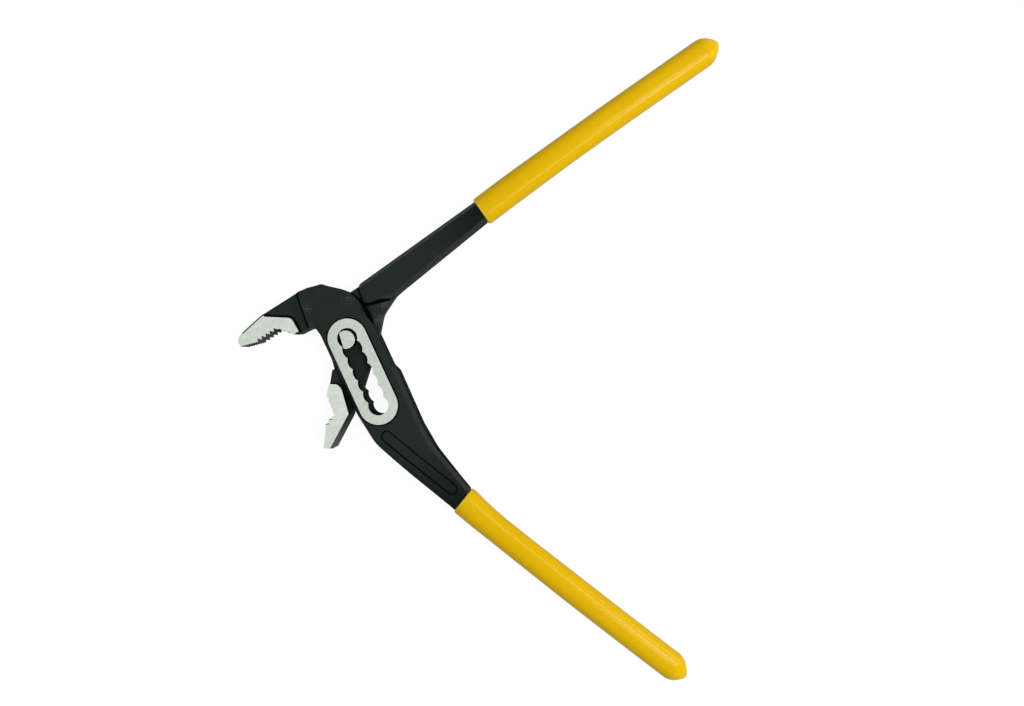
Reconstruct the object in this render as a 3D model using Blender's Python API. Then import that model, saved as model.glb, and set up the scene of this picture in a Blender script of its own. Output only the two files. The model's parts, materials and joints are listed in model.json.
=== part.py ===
"""Water pump pliers with a box joint, 250 mm long, lying flat with the handles wide open.

The slotted arm is a forging whose head is a box: two cheeks with a window between them and a
scalloped slot through both. The inner arm passes through the window and turns on a pin, and the
pin slides along the slot. Each handle has a dipped grip.

Sizes and outlines are in millimetres, in the plane of the tool. For the slotted arm, (0, 0) is
the centre of the slot's first seat, and the slot runs along -Y. For the inner arm, (0, 0) is the
pin. The finished tool is in metres, lies on z = 0 and is centred on its own box.
"""

import math

import bmesh
import bpy
from mathutils import Matrix, Vector

MM = 0.001

# Pin and slot
PIN_RADIUS = 4.2
PIN_FLAT = 1.6                  # from the pin's axis to the flat on each end
PIN_FLAT_TILT = 8.0             # degrees between that flat and the slot
PIN_OFFSET = 1.0                # the pin lies this far left of the slot's middle line
PIN_DROP = 0.3                  # and this far below the middle of the first seat
PIN_SHORTFALL = 0.1             # each end of the pin stops this far below the boss
PIN_CLEARANCE = 0.3             # pin in the bore of the inner arm
SEAT_CLEARANCE = 0.25           # pin in a seat of the slot
SEAT_PITCH = 5.45
SEAT_COUNT = 7

# Thicknesses, each over both faces of the tool
CHEEK_THICKNESS = 12.2
BOSS_HEIGHT = 0.4               # of the boss above a cheek, on one face
TONGUE_THICKNESS = 5.0
TONGUE_CLEARANCE = 0.3          # between the tongue and one cheek
NECK_THICKNESS = 7.4
JAW_THICKNESS = 11.2            # over the ground faces of a jaw
JAW_HOLLOW = 0.9                # depth of the black hollow behind a ground face
MOUTH_THICKNESS = 7.6           # slotted arm where its grip begins
PANEL_DEPTH = 0.5               # marking panel on the slotted arm
PANEL_RADIUS = 2.5

# Box, across the slot
BOSS_WALL = 4.3                 # from a seat to the boss's outer edge
LEFT_MARGIN = 1.65              # from the boss to the jaw-side edge of the cheeks
RIGHT_MARGIN = 3.95             # from the boss to the handle-side edge of the cheeks
ROOT_SHOULDER = 1.3             # the handle root stands out this far beyond that edge
MOUTH_RELIEF = 1.2              # depth of the relief that lets the neck enter the window

# Inner arm between the cheeks
TONGUE_WALL = 4.5               # steel round the bore
TONGUE_REACH = 13.1             # from the pin to the tongue's straight lower border
LOWER_BORDER = 48.0             # degrees from +X to that border, wide open
UPPER_BORDER = 36.5             # the same for the border that runs up into the neck
JAW_BORDER = 80.0               # the same for the border that runs down to the jaw
CLOSING_ANGLE = 72.0            # the inner arm turns this far to close the jaws
SWING_CLEARANCE = 0.5           # inner arm in the window, at every opening

# Jaws
JAW_REACH = 45.0                # from the slot to the tip of the slotted arm's jaw
FINE_TEETH = 7
COARSE_TEETH = 5
ROOT_TEETH = 3
FINE_DEPTH = 0.45
COARSE_DEPTH = 1.5
ROOT_DEPTH = 0.6

# Handles and grips
SLOTTED_NECK_WIDTH = 10.5
INNER_NECK_WIDTH = 9.6
TAPER_RUN = 34.0                # length over which the slotted arm thins towards its grip
TANG_WIDTH = 8.2                # steel inside a grip
TANG_SETBACK = 14.0             # from the end of that steel to the end of the grip
GRIP_CLEARANCE = 0.3
FLATNESS = 0.82                 # thickness of a grip or tang for its width
POINT_SHARE = 0.7               # length of the blunt point of a grip or tang for its width
SLOTTED_GRIP_LENGTH = 128.6
SLOTTED_GRIP_ANGLE = -63.5      # degrees from +X
SLOTTED_GRIP_WIDTH = 12.6
SLOTTED_LIP_WIDTH = 13.6        # where that grip begins
INNER_GRIP_LENGTH = 131.6
INNER_GRIP_ANGLE = 10.5
INNER_GRIP_WIDTH = 13.0
INNER_LIP_WIDTH = 13.4

# What follows from the sizes above
SEAT_RADIUS = PIN_RADIUS + SEAT_CLEARANCE
FAR = -SEAT_PITCH * (SEAT_COUNT - 1)            # y of the slot's last seat
BORE_RADIUS = PIN_RADIUS + PIN_CLEARANCE
TONGUE_RADIUS = BORE_RADIUS + TONGUE_WALL
WINDOW_HEIGHT = TONGUE_THICKNESS + 2 * TONGUE_CLEARANCE
BOSS_RADIUS = SEAT_RADIUS + BOSS_WALL
BOSS_THICKNESS = CHEEK_THICKNESS + 2 * BOSS_HEIGHT
LEFT_EDGE = -BOSS_RADIUS - LEFT_MARGIN
RIGHT_EDGE = BOSS_RADIUS + RIGHT_MARGIN
ROOT_EDGE = RIGHT_EDGE + ROOT_SHOULDER
SLOTTED_MOUTH = (ROOT_EDGE + 1.6, FAR - 54.2)
INNER_MOUTH = (RIGHT_EDGE + 65.4, 27.0)
REACH = 80.0                    # cutters run well past what they cut
ARC_STEP = math.radians(15)

FORGED_BLACK = ("forged_black", (0.020, 0.026, 0.025, 1.0), 0.45, 0.6)
BRIGHT_STEEL = ("bright_steel", (0.60, 0.63, 0.60, 1.0), 0.35, 1.0)
YELLOW_VINYL = ("yellow_vinyl", (0.74, 0.44, 0.005, 1.0), 0.35, 0.0)


def collection(name):
    made = bpy.data.collections.new(name)
    bpy.context.scene.collection.children.link(made)
    return made


def material(look):
    name, colour, roughness, metallic = look
    made = bpy.data.materials.new(name)
    made.use_nodes = True
    shader = made.node_tree.nodes["Principled BSDF"]
    shader.inputs["Base Color"].default_value = colour
    shader.inputs["Roughness"].default_value = roughness
    shader.inputs["Metallic"].default_value = metallic
    return made


def along(start, angle, distance, side=0.0):
    """Point at a distance from start in a direction, then a step to the left of it."""
    way = math.radians(angle)
    return (start[0] + distance * math.cos(way) - side * math.sin(way),
            start[1] + distance * math.sin(way) + side * math.cos(way))


def arc(centre, radius, start, end):
    """Points on an arc from start to end, in degrees; a falling angle runs clockwise."""
    steps = max(2, round(math.radians(abs(end - start)) / ARC_STEP))
    return [along(centre, start + (end - start) * i / steps, radius) for i in range(steps + 1)]


def stadium(first, last, radius):
    """Outline with a half round about each of two centres."""
    way = math.degrees(math.atan2(last[1] - first[1], last[0] - first[0]))
    return arc(first, radius, way + 90, way + 270) + arc(last, radius, way - 90, way + 90)


def rounded(corners):
    """Closed outline through corners (x, y), or (x, y, fillet radius)."""
    outline = []
    for i, corner in enumerate(corners):
        here = Vector(corner[:2])
        if len(corner) == 2:
            outline.append(tuple(here))
            continue
        before = Vector(corners[i - 1][:2]) - here
        after = Vector(corners[(i + 1) % len(corners)][:2]) - here
        half = before.angle(after) / 2
        run = min(corner[2] / math.tan(half), 0.45 * before.length, 0.45 * after.length)
        first = here + before.normalized() * run
        last = here + after.normalized() * run
        bisector = (before.normalized() + after.normalized()).normalized()
        centre = here + bisector * (run / math.cos(half))
        start = math.degrees(math.atan2(first.y - centre.y, first.x - centre.x))
        end = math.degrees(math.atan2(last.y - centre.y, last.x - centre.x))
        turn = (end - start + 180) % 360 - 180
        outline += arc(centre, (first - centre).length, start, start + turn)
    return outline


def teeth(start, end, count, depth):
    """Saw teeth from start to end, cut into the steel on the left of that line."""
    start = Vector(start)
    run = (Vector(end) - start) / count
    inward = Vector((-run.y, run.x)).normalized() * depth
    points = []
    for i in range(count):
        points.append(tuple(start + run * i))
        points.append(tuple(start + run * (i + 0.35) + inward))
    return points


def from_curve(name, curve):
    """Mesh object made from a curve, with its loose caps welded on."""
    holder = bpy.data.objects.new(name, curve)
    bpy.context.scene.collection.objects.link(holder)
    seen = holder.evaluated_get(bpy.context.evaluated_depsgraph_get())
    mesh = bpy.data.meshes.new_from_object(seen)
    bpy.data.objects.remove(holder)
    bpy.data.curves.remove(curve)
    shape = bmesh.new()
    shape.from_mesh(mesh)
    bmesh.ops.remove_doubles(shape, verts=shape.verts, dist=0.001 * MM)
    bmesh.ops.recalc_face_normals(shape, faces=shape.faces)
    shape.to_mesh(mesh)
    shape.free()
    return bpy.data.objects.new(name, mesh)


def plate(name, outline, low, high):
    """Flat plate of an outline, between two heights."""
    curve = bpy.data.curves.new(name, "CURVE")
    curve.dimensions = "2D"
    curve.fill_mode = "BOTH"
    curve.extrude = (high - low) / 2 * MM
    spline = curve.splines.new("POLY")
    spline.points.add(len(outline) - 1)
    for point, (x, y) in zip(spline.points, outline):
        point.co = (x * MM, y * MM, 0, 1)
    spline.use_cyclic_u = True
    made = from_curve(name, curve)
    made.data.transform(Matrix.Translation((0, 0, (high + low) / 2 * MM)))
    return made


def slab(name, outline, thickness):
    """Plate that is even about the middle plane of the tool."""
    return plate(name, outline, -thickness / 2, thickness / 2)


def bar(name, mouth, angle, stations):
    """Bar pressed flatter than round, through stations (distance, width, side), with a blunt point."""
    distance, width, side = stations[-1]
    point = []
    for share in (0.8, 0.6, 0.4, 0.2, 0.08, 0.02):
        swell = math.sin(math.pi / 2 * share ** 0.8)
        point.append((distance + POINT_SHARE * width * (1 - share), width * swell, side))
    curve = bpy.data.curves.new(name, "CURVE")
    curve.dimensions = "3D"
    curve.bevel_depth = MM
    curve.bevel_resolution = 6
    curve.use_fill_caps = True
    spline = curve.splines.new("POLY")
    spline.points.add(len(stations + point) - 1)
    for spot, (distance, width, side) in zip(spline.points, stations + point):
        x, y = along(mouth, angle, distance, side)
        spot.co = (x * MM, y * MM, 0, 1)
        spot.radius = width / 2
    made = from_curve(name, curve)
    made.data.transform(Matrix.Scale(FLATNESS, 4, (0, 0, 1)))
    return made


def tang(name, mouth, angle, grip_length, grow):
    """Steel inside a grip, from a little way inside the neck; grow makes the pocket for it."""
    width = TANG_WIDTH + 2 * grow
    end = grip_length - TANG_SETBACK - POINT_SHARE * TANG_WIDTH
    return bar(name, mouth, angle, [(-TANG_WIDTH, width, 0.0), (end, width, 0.0)])


def add_boolean(target, tool, operation):
    CUTTERS.objects.link(tool)
    tool.hide_render = True
    tool.display_type = "WIRE"
    tool.parent = target.parent or BODY
    step = target.modifiers.new(tool.name, "BOOLEAN")
    step.operation = operation
    step.object = tool


def cut(target, tool):
    add_boolean(target, tool, "DIFFERENCE")


def join(target, tool):
    add_boolean(target, tool, "UNION")


def cut_both_faces(target, name, outline, thickness):
    """Take both faces down to a thickness, inside an outline."""
    half = thickness / 2
    cut(target, plate(name + "_front", outline, half, half + REACH))
    cut(target, plate(name + "_rear", outline, -half - REACH, -half))


def piece(name, made, look, carrier):
    PARTS.objects.link(made)
    made.name = name
    made.data.materials.clear()
    made.data.materials.append(material(look))
    made.parent = carrier
    return made


def carrier(name, place, parent):
    """Empty that carries the pieces of one body, on that body's joint axis."""
    made = bpy.data.objects.new(name, None)
    PARTS.objects.link(made)
    made.parent = parent
    made.location = (place[0] * MM, place[1] * MM, 0)
    return made


def slot_outline():
    """Scalloped slot: one round seat for each position, each cutting into the next."""
    cusp = math.degrees(math.acos(SEAT_PITCH / 2 / SEAT_RADIUS))
    right = []
    for i in range(SEAT_COUNT):
        top = 90 if i == 0 else 90 - cusp
        bottom = -90 if i == SEAT_COUNT - 1 else cusp - 90
        right += arc((0, -SEAT_PITCH * i), SEAT_RADIUS, top, bottom)[:-1]
    left = [(-x, y) for x, y in right[1:]]
    return right + [(0, FAR - SEAT_RADIUS)] + left[::-1]


def window_outline():
    """Room between the cheeks for the tongue, at every seat and every opening."""
    spread = (UPPER_BORDER - JAW_BORDER + CLOSING_ANGLE) / 2
    top_radius = (TONGUE_RADIUS + SWING_CLEARANCE) / math.cos(math.radians(spread))
    top = along((-PIN_OFFSET, -PIN_DROP), UPPER_BORDER + 90 - spread, top_radius)
    foot_radius = (TONGUE_REACH + SWING_CLEARANCE) / math.cos(math.radians(CLOSING_ANGLE / 2))
    foot = along((-PIN_OFFSET, FAR), LOWER_BORDER - 90 - CLOSING_ANGLE / 2, foot_radius)
    return [along(top, JAW_BORDER - CLOSING_ANGLE + 180, REACH), top, along(top, UPPER_BORDER, REACH),
            along(foot, LOWER_BORDER - CLOSING_ANGLE, REACH), foot, along(foot, LOWER_BORDER + 180, REACH)]


def face_cutter(name, face, sink):
    """Block over one face of the slotted arm that follows its taper to the grip, and may be sunk in it."""
    cheek = CHEEK_THICKNESS / 2 - sink
    mouth = MOUTH_THICKNESS / 2 - sink
    side = [(0, mouth), (REACH, mouth), (REACH, REACH), (-REACH, REACH)]
    if sink > 0:
        side += [(-REACH, cheek), (-TAPER_RUN, cheek)]
    else:
        side += [(-REACH, mouth + (cheek - mouth) * REACH / TAPER_RUN)]
    block = plate(name, side, -REACH, REACH)
    stand = Matrix.Rotation(math.radians(90), 4, "X")
    turn = Matrix.Rotation(math.radians(SLOTTED_GRIP_ANGLE), 4, "Z")
    place = Matrix.Translation((SLOTTED_MOUTH[0] * MM, SLOTTED_MOUTH[1] * MM, 0))
    block.data.transform(place @ turn @ stand)
    if face == "rear":
        block.data.transform(Matrix.Scale(-1, 4, (0, 0, 1)))
        block.data.flip_normals()
    return block


def slotted_arm(body_carrier):
    """Forging with the box, the hooked jaw above it and the lower handle."""
    tip = -JAW_REACH
    fine_end = (tip + 8.2, 15.0)
    apex = (LEFT_EDGE - 16.0, 16.5)
    root_end = (LEFT_EDGE - 11.2, 11.9)
    half_neck = SLOTTED_NECK_WIDTH / 2
    outline = rounded(
        teeth((tip + 0.6, 16.3), fine_end, FINE_TEETH, FINE_DEPTH)
        + teeth(fine_end, apex, COARSE_TEETH, COARSE_DEPTH)
        + teeth(apex, root_end, ROOT_TEETH, ROOT_DEPTH)
        + [root_end, (LEFT_EDGE - 9.1, 11.2), (LEFT_EDGE - 3.6, 10.8), (LEFT_EDGE - 1.0, 10.2, 1.8),
           (LEFT_EDGE, 6.0, 3.0), (LEFT_EDGE, FAR + 0.5, 20.0), (LEFT_EDGE + 2.0, FAR - 15.0, 20.0),
           (LEFT_EDGE + 10.9, FAR - 35.0, 30.0),
           along(SLOTTED_MOUTH, SLOTTED_GRIP_ANGLE, -GRIP_CLEARANCE, -half_neck - 0.4),
           along(SLOTTED_MOUTH, SLOTTED_GRIP_ANGLE, -GRIP_CLEARANCE, half_neck - 0.4),
           (ROOT_EDGE + 0.6, FAR - 30.0, 30.0), (ROOT_EDGE - 0.4, FAR - 16.0, 20.0),
           (ROOT_EDGE, FAR + 10.5, 2.0), (RIGHT_EDGE, FAR + 14.0, 2.5), (RIGHT_EDGE, 4.5, 12.0),
           (RIGHT_EDGE - 1.5, 13.5, 8.0), (8.0, 19.5, 8.0), (0.9, 24.6, 1.0), (-0.3, 26.8, 0.8),
           (-2.0, 26.9, 1.0), (LEFT_EDGE + 3.4, 27.8, 6.0), (LEFT_EDGE - 1.6, 27.9, 8.0),
           (LEFT_EDGE - 19.3, 25.0, 30.0), (tip + 2.7, 21.5, 4.0), (tip, 19.2, 2.0)])
    arm = piece("slotted_arm", slab("slotted_arm", outline, CHEEK_THICKNESS), FORGED_BLACK, body_carrier)
    join(arm, slab("boss", stadium((0, 0), (0, FAR), BOSS_RADIUS), BOSS_THICKNESS))
    for face in ("front", "rear"):
        cut(arm, face_cutter("handle_taper_" + face, face, 0.0))
        marking_panel(arm, face)
    step_top = (LEFT_EDGE - 1.2, 30.0)
    step_foot = (LEFT_EDGE - 3.3, 9.0)
    cut_both_faces(arm, "jaw_face", [step_top, step_foot, (tip - 5.0, 9.0), (tip - 5.0, 30.0)], JAW_THICKNESS)
    hollow = rounded([step_top, step_foot, (LEFT_EDGE - 7.4, 9.0), (LEFT_EDGE - 8.6, 18.6, 2.6),
                      (LEFT_EDGE - 19.0, 24.0), (LEFT_EDGE - 21.6, 30.0)])
    cut_both_faces(arm, "jaw_hollow", hollow, JAW_THICKNESS - 2 * JAW_HOLLOW)
    join(arm, tang("slotted_tang", SLOTTED_MOUTH, SLOTTED_GRIP_ANGLE, SLOTTED_GRIP_LENGTH, 0.0))
    cut(arm, slab("window", window_outline(), WINDOW_HEIGHT))
    relief = [(RIGHT_EDGE - MOUTH_RELIEF, REACH), (RIGHT_EDGE - MOUTH_RELIEF, FAR - 22.0),
              (REACH, FAR - 22.0), (REACH, REACH)]
    cut(arm, slab("window_mouth", relief, NECK_THICKNESS + 2 * TONGUE_CLEARANCE))
    cut(arm, slab("slot", slot_outline(), REACH))


def marking_panel(arm, face):
    """Long bare panel sunk in one face of the slotted arm."""
    outline = stadium((-2.5, FAR - 14.1), (ROOT_EDGE - 2.0, FAR - 47.6), PANEL_RADIUS)
    panel = slab("panel_" + face, outline, REACH)
    add_boolean(panel, face_cutter("panel_bed_" + face, face, PANEL_DEPTH), "INTERSECT")
    cut(arm, panel)


def inner_arm(body_carrier):
    """Forging that passes through the box: lower jaw, thin tongue with the bore, upper handle."""
    shoulder = LEFT_EDGE + PIN_OFFSET - SWING_CLEARANCE
    edge = RIGHT_EDGE + PIN_OFFSET
    half_neck = INNER_NECK_WIDTH / 2
    neck = rounded(
        [(edge + 0.7, 19.0), (edge - 0.2, 9.3, 2.2), (edge + 11.6, 7.9, 6.0), (edge + 17.4, 9.8, 8.0),
         along(INNER_MOUTH, INNER_GRIP_ANGLE, -GRIP_CLEARANCE, -half_neck),
         along(INNER_MOUTH, INNER_GRIP_ANGLE, -GRIP_CLEARANCE, half_neck), (edge + 2.7, 20.0, 2.0)])
    arm = piece("inner_arm", slab("inner_arm", neck, NECK_THICKNESS), FORGED_BLACK, body_carrier)
    foot = along((0, 0), LOWER_BORDER - 90, TONGUE_REACH)
    upper = along((0, 0), UPPER_BORDER + 90, TONGUE_RADIUS)
    jaw_side = along((0, 0), JAW_BORDER + 90, TONGUE_RADIUS)
    tongue = rounded(
        [(shoulder - 3.0, -28.0), along(foot, LOWER_BORDER, -32.0), along(foot, LOWER_BORDER, 6.5) + (8.0,),
         (edge + 5.7, 3.9, 10.0), (edge + 15.0, 9.5), (edge + 15.0, 19.0), (edge + 1.5, 19.2),
         along(upper, UPPER_BORDER, 18.9)]
        + arc((0, 0), TONGUE_RADIUS, UPPER_BORDER + 90, JAW_BORDER + 90)
        + [along(jaw_side, JAW_BORDER, -11.0), (shoulder - 3.0, -16.0)])
    join(arm, slab("tongue", tongue, TONGUE_THICKNESS))
    root = (shoulder - 7.8, -18.2)
    apex = (shoulder - 8.5, -28.4)
    flank_end = (shoulder - 14.7, -32.3)
    tip = (shoulder - 19.1, -39.6)
    jaw = rounded(
        teeth(root, apex, ROOT_TEETH + 1, -ROOT_DEPTH)
        + teeth(apex, flank_end, COARSE_TEETH - 2, -COARSE_DEPTH)
        + teeth(flank_end, tip, FINE_TEETH, -FINE_DEPTH)
        + [tip, (shoulder - 16.1, -41.2, 0.8), (shoulder - 2.6, -31.0, 1.0), (shoulder, -27.0, 2.0),
           (shoulder, -9.8, 0.8), (shoulder - 1.4, -9.4, 0.8), (shoulder - 4.9, -14.6, 1.5)])
    join(arm, slab("lower_jaw", jaw, JAW_THICKNESS))
    hollow = rounded([(shoulder - 9.0, -12.6), (shoulder - 2.1, -16.3, 1.5), (shoulder - 1.0, -18.6, 6.0),
                      (shoulder - 2.7, -30.0), (shoulder + 0.4, -30.0), (shoulder + 0.4, -8.0),
                      (shoulder - 9.0, -8.0)])
    cut_both_faces(arm, "lower_hollow", hollow, JAW_THICKNESS - 2 * JAW_HOLLOW)
    join(arm, tang("inner_tang", INNER_MOUTH, INNER_GRIP_ANGLE, INNER_GRIP_LENGTH, 0.0))
    cut(arm, slab("bore", arc((0, 0), BORE_RADIUS, 0, 345), REACH))


def pivot_pin(body_carrier):
    """Pin through the tongue; each end has a flat that runs along the slot."""
    length = BOSS_THICKNESS - 2 * PIN_SHORTFALL
    pin = slab("pivot_pin", arc((0, 0), PIN_RADIUS, 0, 345), length)
    pin = piece("pivot_pin", pin, BRIGHT_STEEL, body_carrier)
    facing = 180 - PIN_FLAT_TILT
    flat = [along((0, 0), facing, PIN_FLAT, REACH), along((0, 0), facing, PIN_FLAT, -REACH),
            along((0, 0), facing, REACH, -REACH), along((0, 0), facing, REACH, REACH)]
    cut_both_faces(pin, "flat", flat, WINDOW_HEIGHT)


def grip(name, mouth, angle, length, stations, body_carrier):
    """Dipped sleeve with a pocket for the tang."""
    sleeve = bar(name, mouth, angle, stations)
    sleeve.data.shade_smooth()
    sleeve.data.set_sharp_from_angle(angle=math.radians(50))
    piece(name, sleeve, YELLOW_VINYL, body_carrier)
    cut(sleeve, tang(name + "_pocket", mouth, angle, length, GRIP_CLEARANCE))


def stand_on_ground():
    """Move the tool so that it lies on z = 0, centred on its own box."""
    view = bpy.context.evaluated_depsgraph_get()
    corners = []
    for made in PARTS.objects:
        if made.type == "MESH":
            seen = made.evaluated_get(view)
            corners += [seen.matrix_world @ vertex.co for vertex in seen.data.vertices]
    low = [min(corner[axis] for corner in corners) for axis in range(3)]
    high = [max(corner[axis] for corner in corners) for axis in range(3)]
    BODY.location = (-(low[0] + high[0]) / 2, -(low[1] + high[1]) / 2, -low[2])


for leftover in list(bpy.data.objects):
    bpy.data.objects.remove(leftover)
PARTS = collection("water_pump_pliers")
CUTTERS = collection("cutters")
BODY = carrier("slotted_arm_carrier", (0, 0), None)
SLIDER = carrier("pin_carrier", (-PIN_OFFSET, -PIN_DROP), BODY)
slotted_arm(BODY)
pivot_pin(SLIDER)
inner_arm(SLIDER)
point = POINT_SHARE * SLOTTED_GRIP_WIDTH
grip("slotted_arm_grip", SLOTTED_MOUTH, SLOTTED_GRIP_ANGLE, SLOTTED_GRIP_LENGTH,
     [(0.0, SLOTTED_LIP_WIDTH, -0.15), (2.0, SLOTTED_LIP_WIDTH, -0.15),
      (10.0, SLOTTED_GRIP_WIDTH + 0.3, -0.65), (22.0, SLOTTED_GRIP_WIDTH - 0.3, -0.9),
      (63.0, SLOTTED_GRIP_WIDTH, -0.6), (100.0, SLOTTED_GRIP_WIDTH, 0.0),
      (SLOTTED_GRIP_LENGTH - point, SLOTTED_GRIP_WIDTH, 0.45)], BODY)
point = POINT_SHARE * INNER_GRIP_WIDTH
grip("inner_arm_grip", INNER_MOUTH, INNER_GRIP_ANGLE, INNER_GRIP_LENGTH,
     [(0.0, INNER_LIP_WIDTH, 0.15), (2.0, INNER_LIP_WIDTH, 0.15), (20.0, INNER_LIP_WIDTH, 0.65),
      (45.0, INNER_GRIP_WIDTH, 1.0), (75.0, INNER_GRIP_WIDTH, 1.15),
      (INNER_GRIP_LENGTH - point, INNER_GRIP_WIDTH, 0.85)], SLIDER)
stand_on_ground()
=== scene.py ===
"""Looks of the water pump pliers: black forged arms, ground faces, a bright pin and dipped yellow grips.

Outlines are in millimetres in the plane of the tool and become metres when a piece is placed. For
the slotted arm, (0, 0) is the centre of the slot's first seat; for the inner arm it is the pin.
"""

import json
import math

import bmesh
import bpy
from mathutils import Matrix, Vector


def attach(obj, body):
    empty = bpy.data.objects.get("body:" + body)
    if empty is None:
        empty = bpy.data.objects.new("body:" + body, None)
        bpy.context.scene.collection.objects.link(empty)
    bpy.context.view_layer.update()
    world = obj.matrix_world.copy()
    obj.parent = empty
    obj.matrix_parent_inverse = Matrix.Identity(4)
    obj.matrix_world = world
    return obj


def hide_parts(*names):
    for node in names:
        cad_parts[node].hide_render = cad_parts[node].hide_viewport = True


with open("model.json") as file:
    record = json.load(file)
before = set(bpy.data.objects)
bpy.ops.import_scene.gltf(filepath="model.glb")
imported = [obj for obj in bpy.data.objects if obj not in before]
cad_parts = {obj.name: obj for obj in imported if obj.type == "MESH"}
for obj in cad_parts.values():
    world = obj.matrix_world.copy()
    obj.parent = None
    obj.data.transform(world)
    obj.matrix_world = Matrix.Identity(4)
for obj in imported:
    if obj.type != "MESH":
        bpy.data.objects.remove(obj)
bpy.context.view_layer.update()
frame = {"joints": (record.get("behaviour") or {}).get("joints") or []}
scene = bpy.context.scene
scene.view_settings.view_transform = "Standard"

# Camera: straight above the tool at close range, so the far edges of the steel draw in a little
# and the inner walls show. The head lies to the left, with the slot leaning down to the right.
pin_axis = Vector(frame["joints"][1]["pos_m"])
seat_offset = Vector((0.0010, 0.0003, 0.0))
first_seat = pin_axis + seat_offset
lens = bpy.data.cameras.new("photo_camera")
lens.sensor_width = 36.0
lens.lens = 25.76
camera = bpy.data.objects.new("photo_camera", lens)
camera.location = first_seat + Vector((0.0633, -0.0365, 0.330))
camera.rotation_euler = (0.0, 0.0, math.radians(-24.8))
scene.collection.objects.link(camera)
scene.camera = camera


# Floor and light: a white table top under an even sky. Two long lamps hang over the side of the
# handles, each along one of them, and draw the narrow highlight on its grip; a third fills in.
def node(tree, kind, links=None, **settings):
    """Add a node, with its settings, and with its inputs linked or set."""
    made = tree.nodes.new(kind)
    for name, value in settings.items():
        setattr(made, name, value)
    for name, source in (links or {}).items():
        if isinstance(source, bpy.types.NodeSocket):
            tree.links.new(source, made.inputs[name])
        else:
            made.inputs[name].default_value = source
    return made


def new_material(name):
    """Material with an empty node tree."""
    made = bpy.data.materials.new(name)
    made.use_nodes = True
    made.node_tree.nodes.clear()
    return made


white = (1.0, 1.0, 1.0, 1.0)
floor_finish = new_material("white_table")
tree = floor_finish.node_tree
matt = node(tree, "ShaderNodeBsdfDiffuse", {"Color": (0.10, 0.10, 0.10, 1.0)})
path = node(tree, "ShaderNodeLightPath")
seen = node(tree, "ShaderNodeMath", {0: path.outputs["Is Camera Ray"], 1: path.outputs["Is Glossy Ray"]},
            operation="MAXIMUM")
lift = node(tree, "ShaderNodeMath", {0: seen.outputs[0], 1: 0.94}, operation="MULTIPLY")
glow = node(tree, "ShaderNodeEmission", {"Color": white, "Strength": lift.outputs[0]})
both = node(tree, "ShaderNodeAddShader", {0: matt.outputs[0], 1: glow.outputs[0]})
node(tree, "ShaderNodeOutputMaterial", {"Surface": both.outputs[0]})
table_half = 2.0
table_height = -0.0001
corners = [(x * table_half, y * table_half, table_height) for x, y in ((-1, -1), (1, -1), (1, 1), (-1, 1))]
floor_mesh = bpy.data.meshes.new("table_top")
floor_mesh.from_pydata(corners, [], [(0, 1, 2, 3)])
floor_mesh.materials.append(floor_finish)
floor = bpy.data.objects.new("table_top", floor_mesh)
scene.collection.objects.link(floor)

sky = bpy.data.worlds.new("even_sky")
sky.use_nodes = True
sky.node_tree.nodes.clear()
tree = sky.node_tree
path = node(tree, "ShaderNodeLightPath")
sky_light = 0.57
bright = node(tree, "ShaderNodeMath", {0: path.outputs["Is Camera Ray"], 1: 1.0 - sky_light, 2: sky_light},
              operation="MULTIPLY_ADD")
air = node(tree, "ShaderNodeBackground", {"Color": white, "Strength": bright.outputs[0]})
node(tree, "ShaderNodeOutputWorld", {"Surface": air.outputs[0]})
scene.world = sky
lamp_length = 0.5
warm_white = (1.0, 0.94, 0.86)
for name, target, place, angle, width, energy in (
        ("upper_lamp", (0.060, 0.112, 0.0), (0.365, -0.273, 0.764), 10.5, 0.17, 2.4),
        ("lower_lamp", (-0.037, -0.071, 0.0), (0.440, -0.104, 0.774), -63.5, 0.17, 2.4),
        ("side_lamp", (0.0, 0.0, 0.0), (0.770, -0.220, 0.380), -70.0, 0.40, 3.4)):
    lamp = bpy.data.lights.new(name, "AREA")
    lamp.shape = "RECTANGLE"
    lamp.size = lamp_length
    lamp.size_y = width
    lamp.energy = energy
    lamp.color = warm_white
    back = (Vector(place) - Vector(target)).normalized()
    grip_way = Vector((math.cos(math.radians(angle)), math.sin(math.radians(angle)), 0.0))
    level = (grip_way - back * grip_way.dot(back)).normalized()
    holder = bpy.data.objects.new(name, lamp)
    turn = Matrix((level, back.cross(level), back)).transposed().to_4x4()
    holder.matrix_world = Matrix.Translation(place) @ turn
    scene.collection.objects.link(holder)


# Slotted arm: one steel forging, phosphated black, with the hooked jaw above a box of two cheeks.
# The boss round the slot and the jaw's faces are ground bright; the seats and teeth are machined.
def arc(centre, radius, start, end):
    """Points about 5 degrees apart on an arc from start to end; a falling angle runs clockwise."""
    steps = max(2, round(abs(end - start) / 5))
    angles = [math.radians(start + (end - start) * i / steps) for i in range(steps + 1)]
    return [(centre[0] + radius * math.cos(a), centre[1] + radius * math.sin(a)) for a in angles]


def along(start, angle, distance, side=0.0):
    """Point at a distance from start in a direction, then a step to the left of it."""
    way = math.radians(angle)
    return (start[0] + distance * math.cos(way) - side * math.sin(way),
            start[1] + distance * math.sin(way) + side * math.cos(way))


def stadium(first, last, radius):
    """Outline of a slot with round ends."""
    way = math.degrees(math.atan2(last[1] - first[1], last[0] - first[0]))
    return arc(first, radius, way + 90, way + 270) + arc(last, radius, way - 90, way + 90)


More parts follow.
